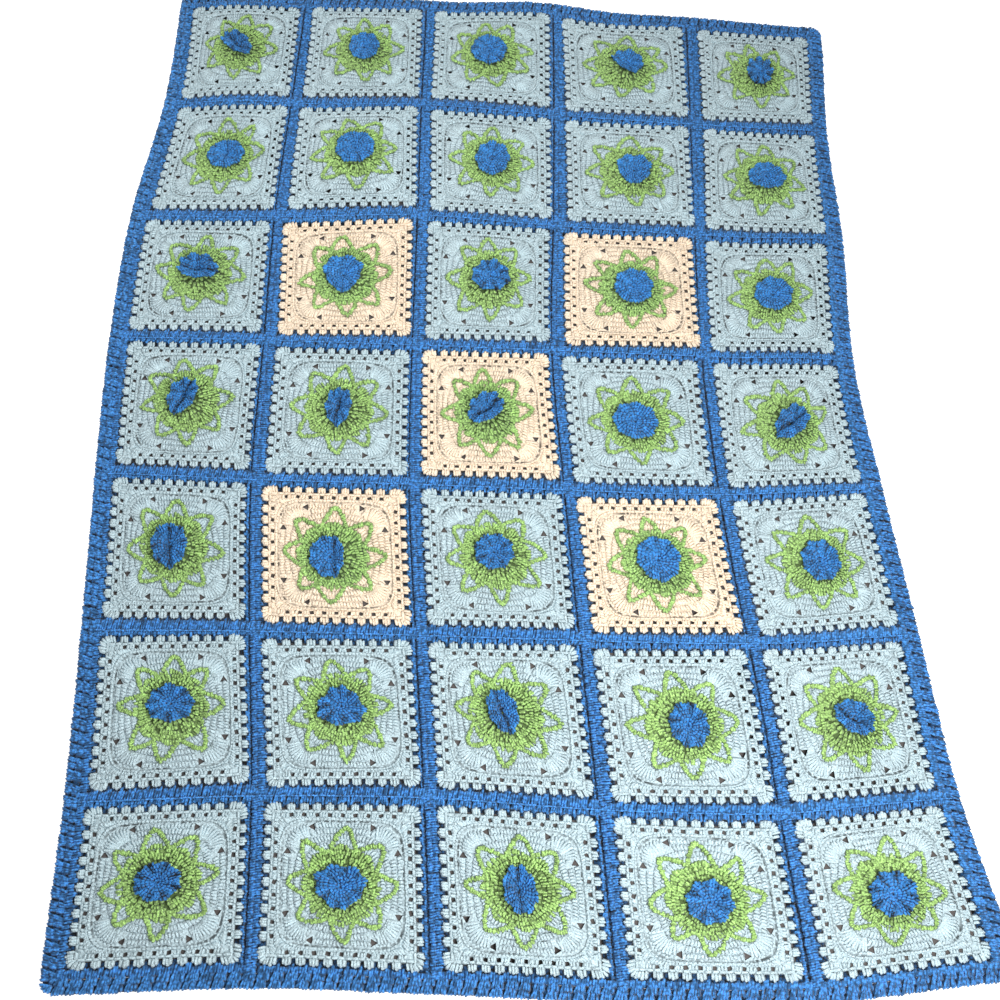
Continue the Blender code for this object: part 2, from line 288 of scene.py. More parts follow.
def shape_with(made, kind, **settings):
    """A modifier is set up and applied, and only its object is left selected."""
    bpy.ops.object.select_all(action="DESELECT")
    made.select_set(True)
    bpy.context.view_layer.objects.active = made
    modifier = made.modifiers.new(kind.lower(), kind)
    for key, value in settings.items():
        setattr(modifier, key, value)
    bpy.ops.object.modifier_apply(modifier=modifier.name)


def taken(made):
    """Points and triangles of a finished form as arrays; the form itself is put away."""
    shape_with(made, "TRIANGULATE")
    mesh = made.data
    points = np.empty(len(mesh.vertices) * 3)
    mesh.vertices.foreach_get("co", points)
    corners = np.empty(len(mesh.loops), dtype=np.int32)
    mesh.loops.foreach_get("vertex_index", corners)
    bpy.data.objects.remove(made)
    bpy.data.meshes.remove(mesh)
    return points.reshape(-1, 3), corners.reshape(-1, 3)


def stitch_form():
    """One stitch from its foot at 0 to its head at 1 along Y."""
    rings = len(STITCH_RINGS)
    made = added(bpy.ops.mesh.primitive_uv_sphere_add, segments=3, ring_count=rings + 1, radius=0.5)
    edit()
    for axis, degrees in (("Z", 90), ("X", 90), ("Y", 180)):
        bpy.ops.transform.rotate(value=math.radians(degrees), orient_axis=axis, center_override=(0, 0, 0))
    for number, (place, width, height) in enumerate(STITCH_RINGS, 1):
        level = -0.5 * math.cos(math.pi * number / (rings + 1))
        span = math.sqrt(0.25 - level * level)
        size = (width / (span * math.sqrt(3)), 1, height / (span * 1.5))
        pick(made, "verts", lambda vertex: abs(vertex.co.y - level) < 0.01)
        bpy.ops.transform.resize(value=size, center_override=(0, level, 0))
        bpy.ops.transform.translate(value=(0, place - 0.5 - level, -0.5 + height * 2 / 3))
    # the two ends, a little lower than the middle
    pick(made, "verts", lambda vertex: abs(vertex.co.y) > 0.49)
    bpy.ops.transform.translate(value=(0, 0, -0.15))
    bpy.ops.mesh.select_all(action="SELECT")
    bpy.ops.transform.translate(value=(0, 0.5, 0))
    bpy.ops.mesh.normals_make_consistent(inside=False)
    bpy.ops.object.mode_set(mode="OBJECT")
    return taken(made)


class Work:
    """Stitches worked flat, in mm, waiting to be laid."""

    def __init__(self, seed, tone=0.05):
        """tone: how uneven the stitches' tones are."""
        self.rng, self.tone, self.batches = np.random.default_rng(seed), tone, []

    def row(self, feet, heads, width, height, loose=0.3, light=0.0, tone=None):
        """A row of stitches from their feet to their heads. loose: how uneven their places are, in mm; light: how much
        lighter than the yarn they are, a painted highlight, or painted shade below 0; tone: where it isn't the work's
        own."""
        count = len(feet)
        feet, heads = (
            np.array(ends, float) + self.rng.normal(0, loose * 0.5, (count, 3)) * (1, 1, 0.6) for ends in (feet, heads)
        )
        widths = width * self.rng.normal(1, 0.05, count)
        heights = height * self.rng.normal(1, 0.04, count)
        self.batches.append((feet, heads, widths, heights, self.rng.normal(light, tone or self.tone, count)))

    def on_four_sides(self, feet, heads, width, height, **more):
        """The far side's row, worked on all four sides."""
        for degrees in (0, 90, 180, 270):
            self.row(turned(feet, degrees), turned(heads, degrees), width, height, **more)

    def gathered(self, stitch):
        """All stitches as points, triangles, and each point's tone, depth and place on its strand."""
        shape, faces = stitch
        feet, heads, widths, heights, tones = (np.concatenate(part) for part in zip(*self.batches))
        count, size = len(feet), len(shape)
        along = heads - feet
        length = np.maximum(np.linalg.norm(along, axis=1, keepdims=True), 1e-6)
        side = np.cross(along / length, (0.0, 0.0, 1.0))
        side /= np.maximum(np.linalg.norm(side, axis=1, keepdims=True), 1e-6)
        over = np.cross(side, along / length)
        x, y, z = shape.T[:, :, None]
        points = (
            feet[:, None]
            + y * along[:, None]
            + x * side[:, None] * widths[:, None, None]
            + z * over[:, None] * heights[:, None, None]
        )
        corners = faces + (np.arange(count) * size)[:, None, None]
        x, y, z = shape.T
        slip = self.rng.uniform(0, 3, (count, 1))
        strands = spots(x * widths[:, None], y * length + slip, z * heights[:, None])
        places = [part.reshape(-1, 3) for part in (points, corners, strands)]
        return places[0], places[1], np.repeat(tones, size), np.tile(z + 0.5, count), places[2]


def woven(name, points, corners, tones, depths, strands, material):
    """A joined mesh from arrays in the frame, with its attributes."""
    mesh = bpy.data.meshes.new(name)
    mesh.vertices.add(len(points))
    mesh.vertices.foreach_set("co", points.astype(np.float32).ravel())
    mesh.loops.add(corners.size)
    mesh.loops.foreach_set("vertex_index", corners.astype(np.int32).ravel())
    mesh.polygons.add(len(corners))
    mesh.polygons.foreach_set("loop_start", np.arange(0, corners.size, 3, dtype=np.int32))
    mesh.update(calc_edges=True)
    mesh.validate()
    mesh.polygons.foreach_set("use_smooth", np.ones(len(mesh.polygons), dtype=bool))
    for key, kind, field, values in (
        ("tone", "FLOAT", "value", tones),
        ("depth", "FLOAT", "value", depths),
        ("strand", "FLOAT_VECTOR", "vector", strands),
    ):
        mesh.attributes.new(key, kind, "POINT").data.foreach_set(field, values.astype(np.float32).ravel())
    mesh.materials.append(material)
    piece = bpy.data.objects.new(name, mesh)
    bpy.context.scene.collection.objects.link(piece)
    return piece


def base_sheet(name, form, laid, material, depth, tone):
    """The thin sheet under the stitches, laid from its flat form; its strand is its flat place in mm."""
    points, corners = form
    flat, count = points / MM, len(points)
    return woven(name, laid(flat), corners, np.full(count, tone), np.full(count, depth), flat, material)


def stitched(name, work, stitch, laid, material):
    """A piece of stitches, laid from flat work."""
    points, *rest = work.gathered(stitch)
    return woven(name, laid(points), *rest, material)


def stand_for(node, *pieces):
    """The pieces ride on the blanket's one body and stand for a solid."""
    for piece in pieces:
        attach(piece, "root")
        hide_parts(node)


def ridge_radius(angle, reach=RIDGE):
    c, s = np.abs(np.cos(angle)), np.abs(np.sin(angle))
    return reach / (c**RIDGE_POWER + s**RIDGE_POWER) ** (1 / RIDGE_POWER)


def evenly(radius_at, step, start=0.0):
    """Angles at even steps along a closed curve given by its radius."""
    fine = np.linspace(0, 2 * math.pi, 1441)
    radius = radius_at(fine)
    x, y = radius * np.cos(fine), radius * np.sin(fine)
    run = np.concatenate([[0], np.cumsum(np.hypot(np.diff(x), np.diff(y)))])
    count = int(round(run[-1] / step))
    return np.interp((np.arange(count) + start) * run[-1] / count, run, fine)


def polar(radius, angle, height):
    return spots(radius * np.cos(angle), radius * np.sin(angle), height)


def ground_radius(angle, t):
    """From the circle round the leaves, at 0, to the groove inside the ridge, at 1."""
    return GROUND_START + (ridge_radius(angle, GROOVE - 1.2) - GROUND_START) * t


def fan_spot(bearing, reach, height):
    return FAN + reach * math.cos(bearing), FAN + reach * math.sin(bearing), height


def fan_end(bearing):
    """Where a corner fan's stitch meets the groove."""
    for reach in np.arange(9.0, PITCH, 0.5):
        x, y, z = fan_spot(bearing, reach, 2.7)
        if math.hypot(x, y) > ridge_radius(math.atan2(y, x), GROOVE - 0.7):
            return x, y, z


def work_solid_rounds(work):
    """From a circle to the ridge, round the triangular gaps and outside the corner fans."""
    for number, (low, high) in enumerate(zip(GROUND_ROUNDS, GROUND_ROUNDS[1:])):
        angles = evenly(lambda angle: ground_radius(angle, (low + high) / 2), 3.7, start=work.rng.uniform())
        feet = polar(ground_radius(angles, low) - 0.6, angles, 2.7)
        heads = polar(ground_radius(angles, high) + (0.4 if number < 3 else -0.2), angles, 2.9)
        if number == 3:
            bridge = np.arange(len(angles)) % 3 == 0
            heads[bridge] = polar(ground_radius(angles[bridge], high) + 2.0, angles[bridge], 2.6)
        keep = np.ones(len(angles), bool)
        for t in (0.0, 0.35, 0.65, 1.0):
            spot = (feet + (heads - feet) * t)[:, None, :2] - np.array(HOLES, float)
            keep &= np.hypot(*spot.transpose(2, 0, 1)).min(axis=1) > HOLE_ROOM
        if number >= 2:
            x, y = np.abs(((feet + heads) / 2)[:, :2]).T - FAN
            bearing = np.degrees(np.arctan2(y, x)) - 45
            keep &= ~((np.abs(bearing) < 41) & (np.hypot(x, y) > 4))
        work.row(feet[keep], heads[keep], 4.7, 2.9, loose=0.5)


def work_ground(work):
    """The solid rounds, the corner fans, the ridge, the open round and the toothed edge of a square."""
    work_solid_rounds(work)
    # corner fans: long stitches, and short ones round the fan's heart
    outer, inner = np.radians(45 + np.linspace(-36, 36, 10)), np.radians(45 + np.linspace(-60, 60, 6))
    fans = (
        ([fan_spot(a, 9, 2.5) for a in outer], [fan_end(a) for a in outer], 4.6, 3.5, 0.5),
        ([fan_spot(a, 1.5, 2.4) for a in inner], [fan_spot(a, 9.5, 2.6) for a in inner], 4.0, 3.6, 0.3),
    )
    for corner in range(4):
        for feet, heads, width, height, loose in fans:
            work.row(turned(feet, 90 * corner), turned(heads, 90 * corner), width, height, loose=loose)
    # the ridge
    angles = evenly(ridge_radius, 4.4)
    following = np.roll(angles, -1)
    feet = polar(ridge_radius(angles), angles, 3.0)
    heads = polar(ridge_radius(following), following, 3.0)
    reach = heads - feet
    work.row(feet - reach * 0.15, heads + reach * 0.15, 3.5, 3.7, loose=0.5)
    # open round: clusters of three over the holes' row, and the corners filled from the ridge
    x = (((np.arange(10) - 4.5) * TOOTH_STEP)[:, None] + 3.1 * np.arange(-1, 2)).ravel()
    feet, heads = spots(x - 0.5, RIDGE + 1.0, 2.5), spots(x + 0.6, ROUND_HEAD, 2.6)
    work.on_four_sides(feet, heads, 3.9, 3.8, loose=1.1)
    feet, heads = [], []
    for x in np.arange(36.0, 70.5, 3.7):
        angle = math.atan2(RIDGE, x * 0.93)
        radius = float(ridge_radius(angle)) + 0.6
        if RIDGE + 2.6 - radius * math.sin(angle) > 2.2:
            feet.append((radius * math.cos(angle), radius * math.sin(angle), 2.5))
            heads.append((x, RIDGE + 2.6, 2.6))
    for flip in (1, -1):
        work.on_four_sides(np.array(feet) * (flip, 1, 1), np.array(heads) * (flip, 1, 1), 4.2, 3.8)
    feet = [(71.0, 71.0, 2.5), (70.5, 67.5, 2.5), (67.5, 70.5, 2.5), (78.6, 70.0, 2.5), (70.0, 78.6, 2.5)]
    heads = [(67.0, 67.0, 2.6), (66.0, 61.5, 2.6), (61.5, 66.0, 2.6), (79.0, 79.5, 2.6), (79.5, 79.0, 2.6)]
    work.on_four_sides(feet, heads, 4.3, 4.0)
    feet = spots(np.arange(-77.5, 77, 7.3), ROUND_HEAD + 0.3, 2.6)
    work.on_four_sides(feet, feet + (8.6, 0, 0), 3.7, 3.5, loose=0.5)
    # toothed edge: groups of three, wider at the corners
    last = TEETH // 2
    number, aside = (part.ravel() for part in np.mgrid[-last : last + 1, -1:2])
    x, corner = number * TOOTH_STEP, np.abs(number) == last
    tip = TOOTH_TIP + 0.3 - 1.7 * aside * aside + 1.0 * corner
    heads = spots(x + 3.0 * np.sign(number) * corner + np.where(corner, 3.9, 3.0) * aside, tip, 2.7)
    work.on_four_sides(spots(x + 3.2 * aside, TOOTH_FOOT, 2.5), heads, 4.4, 4.5, loose=0.7)
    feet = [(79.5, 79.5, 2.4), (80.5, 78.0, 2.4), (78.0, 80.5, 2.4)]
    heads = [(87.0, 87.0, 2.6), (89.6, 82.5, 2.6), (82.5, 89.6, 2.6)]
    work.on_four_sides(feet, heads, 4.4, 4.3)
    return work


def work_leaves(work, turn, lean):
    """The green ring and its eight pointed leaf loops; the ring leans with its flower."""
    rng = work.rng

    def leant(points):
        share = np.clip(1.15 - np.hypot(points[:, 0], points[:, 1]) / 60, 0, 0.85)
        return points + share[:, None] * (lean[0], lean[1], 0.0)

    rings = ((8, 17.5, 14), (16, 25.5, 24), (24, 30, 50), (28.5, 34.5, 60), (33, 39, 68), (37.2, 43, 76))
    for low, high, count in rings:
        rise = 3.6 + 0.03 * low
        angles = (np.arange(count) + rng.uniform()) * 2 * math.pi / count
        phase = rng.uniform(0, 6.28)
        ruffle = (0.6 + 0.5 * (np.sin(angles) < -0.1)) * np.sin(angles * 16 + phase)
        slip = rng.normal(0, 0.02, count)
        wave = 0.6 * np.sin(angles * 8 + phase)
        scallop = 3.0 * np.cos(LEAVES * (angles - math.radians(90 + turn)))
        feet = polar(low + wave, angles, rise + ruffle)
        heads = polar(high + (scallop if high > 40 else wave), angles + slip, rise + 0.6 * ruffle)
        keep = np.arange(count) % 5 > 0 if low == 24 else rng.uniform(size=count) > 0.03
        width = 5.2 if low < 20 else 4.0
        work.row(leant(feet[keep]), leant(heads[keep]), width, 2.8, loose=0.8)
    # half a leaf's outline, from its foot on the ring to its point: along it and aside
    half = np.array(((37.0, 14.6), (44.0, 12.0), (49.0, 9.7), (53.5, 7.7), (57.2, 5.2), (60.0, 2.8), (61.3, 0.0)))
    along, aside = np.concatenate([half, half[-2::-1] * (1, -1)]).T
    for leaf in range(LEAVES):
        heading = math.radians(90 + turn + leaf * 45) + rng.normal(0, 0.05)
        stretch, narrow = rng.normal(1.0, 0.05), rng.normal(1.0, 0.1)
        tilt, curl = rng.normal(0, 2.2), rng.normal(1.4, 1.0)
        run = np.concatenate([[0], np.cumsum(np.hypot(np.diff(along), np.diff(aside * narrow)))])
        places = np.linspace(0, run[-1], 25)
        r, w = np.interp(places, run, along), np.interp(places, run, aside * narrow)
        t = np.clip((r - 42) / 20, 0, 1)
        r = 42 + (r - 42) * stretch
        w = w + tilt * t * t
        reach_r, reach_w = np.gradient(r), np.gradient(w)
        size = np.hypot(reach_r, reach_w)
        out_r, out_w = -reach_w / size, reach_r / size
        z = 5.2 + curl * t * t + 0.6 * np.sin(places * 0.5 + rng.uniform(0, 6))
        c, s = math.cos(heading), math.sin(heading)
        sides = []
        for out in (-3.3, 2.8):
            out = out + 0.5 * np.sin(places * 1.3 + rng.uniform(0, 6))
            a, b = r + out * out_r, w + out * out_w
            sides.append(leant(spots(a * c - b * s, a * s + b * c, z)))
        work.row(*sides, 3.7, 3.0, loose=1.0)
    return work


def work_flower(work, kind):
    """The blue flower, flat: five rounds of stitches, then its petals."""
    rng = work.rng
    phase = rng.uniform(0, 6.28)
    for low, high, count in ((0.8, 5.2, 7), (4.4, 9.4, 13), (8.6, 13.8, 20), (13.0, 18.4, 27), (17.6, 23.0, 34)):
        angles = (np.arange(count) + rng.uniform()) * 2 * math.pi / count
        slip = rng.uniform(0.05, 0.16)
        work.row(polar(low, angles, 0.0), polar(high, angles + slip, 0.3), 4.2, 3.6, loose=0.7)
    for petal in range(PETALS):
        across = np.linspace(-1, 1, 5)
        angles = (petal + 0.5 * across * 0.84) * 2 * math.pi / PETALS + phase / PETALS
        heads = polar(FLOWER_RADIUS + 1.2 - KINDS[kind][1] * across**2, angles, 1.1 * (1 - across**2) - 0.3)
        work.row(polar(22.0, angles, 0.2), heads, 4.6, 3.7, loose=0.7)
    return work


def flower_shape(points, entry, phase):
    """A flat flower in mm, lifted off the leaves and folded as its entry says; also each point's painted shade, in the
    creases, between the petals, in the middle and on one half of a fold, with a painted highlight on the petals."""
    kind, bearing, long, short, taper, right, away = entry
    rise, _, painted_darkness = KINDS[kind]
    x, y, z = points.T
    radius, angle = np.hypot(x, y), np.arctan2(y, x)
    share = radius / FLOWER_RADIUS
    petal = np.abs(np.cos(angle * PETALS / 2 + phase))
    z = z + 9.4 - 5.0 * np.exp(-((radius / 7) ** 2)) + 1.6 * np.sin(np.clip(share, 0, 1) * math.pi)
    z = z + 0.8 * np.sin(3 * angle + phase) * share
    z = z + 0.8 * np.sin(x / 3.0 + phase) * np.sin(y / 2.6 + 2 * phase) * np.clip(share * 2, 0, 1)
    z = z + rise * (petal**0.7 - 0.5) * np.clip(1.3 * share - 0.25, 0, 1)
    # painted shade between the petals and in the middle, and a painted highlight on the petals' crowns
    painted_shading = -painted_darkness * (1 - petal) ** 1.5 * np.clip(2.2 * share - 0.4, 0, 1)
    painted_shading = painted_shading + 0.1 * petal * np.clip(2 * share - 0.6, 0, 1) - 0.5 * np.exp(-((radius / 2.6) ** 2))
    c, s = cos_sin(bearing)
    fore, aside = x * c + y * s, y * c - x * s
    if kind == "F":
        crease = aside - 3.5 * np.sin(fore / 10 + phase)
        t = np.abs(aside) / FLOWER_RADIUS
        z = z + 7.0 * t - 4.0 * np.exp(-((crease / 3.6) ** 2)) + 2.0 * np.sin(fore / 3.4 + phase) * t
        # painted shade in the fold's crease and on one half of the fold
        painted_shading = painted_shading - 0.6 * np.exp(-((crease / 3.4) ** 2)) * np.clip(1.35 - share, 0, 1) - 0.12 * (crease > 0)
    elif kind == "C":
        past = fore - FOLD_START
        t = np.clip(past / (FLOWER_RADIUS - FOLD_START), 0, 1)
        z = z + 8.0 * t**0.9 - 2.6 * np.exp(-((past / 3.2) ** 2)) + 1.2 * np.sin(aside / 3.0 + phase) * t
        # painted shade along the fold
        painted_shading = painted_shading - 0.45 * np.exp(-((past / 3.0) ** 2))
        fore = np.where(past > 0, FOLD_START + past * 0.6, fore)
    fore, aside = fore * long / FLOWER_RADIUS, aside * short / FLOWER_RADIUS
    x, y = fore * c - aside * s, fore * s + aside * c
    x = x * (1 + taper * y / FLOWER_RADIUS)
    return spots(x + right, y + away, z), painted_shading


def with_pad(flower, pad):
    """A flat flower's stitches, closed by its pad from below."""
    points, corners, tones, depths, strands = flower
    below, faces = pad
    plain = np.zeros(len(below))
    # painted shade: the pad's depth of 0.7 takes in part of the yarn's shade colour
    pad = (below, faces + len(points), plain, plain + 0.7, below)
    return [np.concatenate(both) for both in zip(flower, pad)]


def pad_form():
    """A thin round pad, a little below the flower's stitches."""
    made = added(bpy.ops.mesh.primitive_uv_sphere_add, segments=16, ring_count=8, radius=1.0)
    edit()
    bpy.ops.transform.resize(value=(PAD_RADIUS, PAD_RADIUS, 0.9))
    bpy.ops.mesh.normals_make_consistent(inside=False)
    bpy.ops.object.mode_set(mode="OBJECT")
    points, corners = taken(made)
    return points - (0, 0, PAD_DROP), corners


def square_base_form():
    """The thin sheet under one square, with its triangular gaps and the open round's holes cut through."""
    deep = 8 * MM
    made = added(bpy.ops.mesh.primitive_grid_add, x_subdivisions=16, y_subdivisions=16, size=2 * BASE_HALF * MM)
    shape_with(made, "SOLIDIFY", thickness=BASE_THICK * MM, offset=0.0)
    cutters = []
    for x, y in HOLES:
        bearing = math.atan2(y - math.copysign(44, y), x - math.copysign(44, x))
        at = {"location": (x * MM, y * MM, 0), "rotation": (0, 0, bearing - math.radians(90))}
        cutters.append(added(bpy.ops.mesh.primitive_cylinder_add, vertices=3, radius=HOLE_SIZE * MM, depth=deep, **at))
    for quarter in range(4):
        for number in range(-4, 5):
            spot = turned([(number * TOOTH_STEP, ROUND_HOLE, 0)], 90 * quarter)[0]
            slant = math.radians((-14, 9, -22, 16, -5)[(number + 2 * quarter) % 5])
            wide = (4.8, 5.8, 4.3, 5.3)[(number + quarter) % 4]
            at = {"location": spot * MM, "rotation": (0, 0, quarter * math.pi / 2 + slant)}
            cutters.append(added(bpy.ops.mesh.primitive_cube_add, size=1.0, **at))
            bpy.ops.transform.resize(value=(wide * MM, 4.5 * MM, deep), orient_type="LOCAL")
    for cutter in cutters:
        cutter.select_set(True)
    bpy.context.view_layer.objects.active = cutters[0]
    bpy.ops.object.join()
    shape_with(made, "BOOLEAN", object=cutters[0], operation="DIFFERENCE", solver="EXACT")
    bpy.data.objects.remove(cutters[0])
    edit()
    move_all(0, 0, BASE_MIDDLE)
    return taken(made)


def lattice_form():
    """The thin sheet under the joining bands: a lattice with a window for each square."""
    cell, cuts = PITCH * MM, LATTICE_CUTS
    window = cell * LATTICE_INNER / cuts
    made = added(bpy.ops.mesh.primitive_grid_add, x_subdivisions=cuts, y_subdivisions=cuts, size=cell)
    edit("FACE")
    pick(made, "faces", lambda face: max(abs(part) for part in face.calc_center_median()[:2]) < window)
    bpy.ops.mesh.delete(type="FACE")
    move_all(PITCH / 2, PITCH / 2, SHEET_MIDDLE)
    for count, step in ((COLUMNS, (cell, 0, 0)), (ROWS, (0, cell, 0))):
        apart = {"use_relative_offset": False, "use_constant_offset": True, "constant_offset_displace": step}
        shape_with(made, "ARRAY", count=count, use_merge_vertices=True, merge_threshold=0.0001, **apart)
    shape_with(made, "SOLIDIFY", thickness=SHEET_THICK * MM, offset=0.0)
    return taken(made)


def border_form():
    """The thin strip under the border, from its inner edge on the outer seam to its rounded corners."""
    width, length = ((count * PITCH + 2 * EDGE - 3.0) * MM for count in (COLUMNS, ROWS))
    made = added(bpy.ops.mesh.primitive_plane_add, size=1.0)
    edit("FACE")
    bpy.ops.transform.resize(value=(width, length, 1))
    bpy.ops.mesh.inset(thickness=(EDGE - 1.8) * MM)
    bpy.ops.mesh.delete(type="FACE")
    # the straight edges, not the slanted ones at the corners
    bpy.ops.mesh.select_mode(type="EDGE")
    pick(made, "edges", lambda edge: min(map(abs, (edge.verts[0].co - edge.verts[1].co)[:2])) < 1e-5)
    bpy.ops.mesh.subdivide(number_cuts=59)
    bpy.ops.mesh.select_mode(type="VERT")
    x, y = width / 2 - 0.002, length / 2 - 0.002
    pick(made, "verts", lambda vertex: abs(vertex.co.x) > x and abs(vertex.co.y) > y)
    bpy.ops.transform.resize(value=(1 - 0.009 / width, 1 - 0.009 / length, 1), center_override=(0, 0, 0))
    move_all(0, 0, SHEET_MIDDLE)
    shape_with(made, "SOLIDIFY", thickness=SHEET_THICK * MM, offset=0.0)
    return taken(made)


def frame_path(half_x, half_y, radius, step):
    """Places and outward headings at even steps round a rectangle with round corners."""
    straight_x, straight_y = 2 * (half_x - radius), 2 * (half_y - radius)
    arc = math.pi * radius / 2
    total = 2 * (straight_x + straight_y + 2 * arc)
    count = CLUSTER * int(round(total / step / CLUSTER))
    sides = (
        (-half_x + radius, half_y, 0, straight_x),
        (half_x, half_y - radius, -90, straight_y),
        (half_x - radius, -half_y, 180, straight_x),
        (-half_x, -half_y + radius, 90, straight_y),
    )
    found = []
    for number in range(count):
        run = number * total / count
        for x, y, way, size in sides:
            c, s = cos_sin(way)
            if run < size:
                found.append((x + c * run, y + s * run, -s, c))
                break
            run -= size
            if run < arc:
                out = math.radians(way + 90) - run / radius
                out_x, out_y = math.cos(out), math.sin(out)
                hub_x, hub_y = x + c * size + s * radius, y + s * size - c * radius
                found.append((hub_x + radius * out_x, hub_y + radius * out_y, out_x, out_y))
                break
            run -= arc
    return np.hsplit(np.array(found), 2)


def work_border_round(work, low, high, radius, phase):
    """One round of the border in clusters worked into one place each, so that a slit opens between their feet."""
    half_x, half_y = (count * PITCH / 2 + (low + high) / 2 for count in (COLUMNS, ROWS))
    step = TOOTH_STEP / CLUSTER
    places, headings = frame_path(half_x, half_y, radius, step)
    side = headings[:, ::-1] * (1, -1)
    place = (np.arange(len(places)) + phase) % CLUSTER - (CLUSTER - 1) / 2
    reach = (high - low) / 2
    feet = places - headings * (reach + 3.0) - side * (place * step * 0.42 + 1.6)[:, None]
    heads = places + headings * (reach + 0.6) + side * (place * step * 0.03 + 1.2)[:, None]
    work.row(spots(*feet.T, 1.9), spots(*heads.T, 2.5), 4.2, 4.0, loose=1.0)


def cell_run():
    """Places of the band's stitches along one side of a cell, in mm from its middle."""
    return ((np.arange(CELL_STITCHES) + 0.5) / CELL_STITCHES - 0.5) * PITCH


def band_reach(row, column, side, along):
    """How far a band's stitches reach in from the seam, and how high they end: under a square's teeth, or up
    between them. along: places along the cell's side, in mm."""
    turn, right, away = SQUARE_PLACES[row - 1][column - 1]
    sign = 1 if side in (RIGHT, FAR) else -1
    slant, out, aside = math.radians(turn), away, right
    if side in (RIGHT, LEFT):
        slant, out, aside = -slant, right, away
    place = along + sign * slant * TOOTH_TIP - aside
    inward = PITCH / 2 - (TOOTH_TIP + sign * (out + slant * place))
    off = np.abs((place + TOOTH_STEP / 2) % TOOTH_STEP - TOOTH_STEP / 2)
    between_teeth = (np.abs(place) <= 84) & (off > 4.9)
    return np.where(between_teeth, inward + 4.2, inward + 1.0), np.where(between_teeth, 2.3, 1.7)


def work_seams_across(work):
    """Along each seam that runs across: slanted stitches, a chain with a painted highlight, and a narrow row on the
    near side.
    """
    run = cell_run()
    gather = 0.3 * ((run / TOOTH_STEP + 0.5) % 1 - 0.5) * TOOTH_STEP
    for seam in range(1, ROWS):
        y = seam * PITCH
        for column in range(1, COLUMNS + 1):
            x = run + (column - 0.5) * PITCH
            reach, high = band_reach(ROWS - seam, column, NEAR, run)
            work.row(spots(x - 3.6, y - 4.4, 2.6), spots(x, y + reach, high), 4.0, 4.2, loose=0.9)
            reach, high = band_reach(ROWS - seam + 1, column, FAR, run)
            feet = spots(x - gather + 2.4, y - 1.6, 2.2)
            work.row(feet, spots(x, y - reach, high), 3.7, 4.0, loose=0.9)
        links = spots(np.arange(0, COLUMNS * PITCH, 4.6), y - 3.3, 4.2)
        # painted highlight: the raised chain is made lighter than the yarn
        work.row(links, links + (5.8, 0, 0), 2.6, 2.2, loose=0.6, light=0.34, tone=0.14)
    return work


def work_seams_along(work):
    """Along each seam that runs away: a narrow row against the left square's teeth, a groove, then a raised band."""
    run = cell_run()
    for seam in range(1, COLUMNS):
        x = seam * PITCH
        for row in range(1, ROWS + 1):
            y = run + (ROWS - row + 0.5) * PITCH
            reach, high = band_reach(row, seam, RIGHT, run)
            # painted shade: the narrow row against the left square's teeth is made a little darker
            feet, heads = spots(x - 6.4, y - 0.8, 2.1), spots(x - reach, y, high)
            work.row(feet, heads, 4.0, 3.6, loose=0.6, light=-0.08)
            feet, heads = spots(x - 5.4, y - 2.8, 2.9), spots(x + 2.4, y - 1.2, 3.5)
            work.row(feet, heads, 4.0, 4.4, loose=0.8)
            reach, high = band_reach(row, seam + 1, LEFT, run)
            feet, heads = spots(x - 0.6, y - 1.2, 2.9), spots(x + reach, y, high)
            work.row(feet, heads, 4.0, 4.3, loose=0.8)
    return work


def work_outer_round(work):
    """The round between the outermost squares' teeth and the border, on all four sides."""
    run = cell_run()
    for side in (RIGHT, FAR, LEFT, NEAR):
        upright = side in (RIGHT, LEFT)
        count, across = (ROWS, COLUMNS) if upright else (COLUMNS, ROWS)
        sign, seam = (1, across * PITCH) if side in (RIGHT, FAR) else (-1, 0.0)
        for number in range(1, count + 1):
            row, column = ((number, COLUMNS), (1, number), (number, 1), (ROWS, number))[side]
            reach, high = band_reach(row, column, side, run)
            along = run + (ROWS - row + 0.5 if upright else column - 0.5) * PITCH
            feet, heads = spots(along - 1.8, seam + 1.0 * sign, 2.1), spots(along, seam - reach * sign, high)
            if upright:
                feet, heads = feet[:, [1, 0, 2]], heads[:, [1, 0, 2]]
            work.row(feet, heads, 4.0, 4.0, loose=0.9)
    return work


class Nodes:
    """Adds nodes to a tree, in columns of four from left to right."""

    def __init__(self, tree):
        self.tree = tree

    def add(self, kind, *given, **settings):
        """A node; what is given goes to its inputs in order: a socket is linked, a value is set, None is left."""
        count = len(self.tree.nodes)
        node = self.tree.nodes.new(kind)
        node.location = (220 * (count // 4), -200 * (count % 4))
        for key, value in settings.items():
            setattr(node, key, value)
        for socket, value in zip(node.inputs, given):
            if isinstance(value, bpy.types.NodeSocket):
                self.tree.links.new(value, socket)
            elif value is not None:
                socket.default_value = value
        return node

    def attribute(self, name):
        return self.add("ShaderNodeAttribute", attribute_name=name).outputs

    def maths(self, operation, *given):
        return self.add("ShaderNodeMath", *given, operation=operation).outputs[0]

    def ramp(self, *given, smooth=False):
        """given: the value, where it starts and ends, and what these become."""
        kind = "SMOOTHSTEP" if smooth else "LINEAR"
        return self.add("ShaderNodeMapRange", *given, interpolation_type=kind).outputs[0]

    def mixed(self, share, first, second):
        return self.add("ShaderNodeMix", share, *[None] * 5, first, second, data_type="RGBA").outputs[2]

    def scaled(self, colour, share):
        return self.add("ShaderNodeVectorMath", colour, None, None, share, operation="SCALE").outputs[0]


def new_group(name, inputs, outputs):
    """A node group with its sockets; a socket without a number is a colour."""
    tree = bpy.data.node_groups.new(name, "ShaderNodeTree")
    for in_out, sockets in (("INPUT", inputs), ("OUTPUT", outputs)):
        for title, value in sockets.items():
            kind = "NodeSocketColor" if value is None else "NodeSocketFloat"
            socket = tree.interface.new_socket(title, in_out=in_out, socket_type=kind)
            if value is not None:
                socket.default_value = value
    return Nodes(tree)


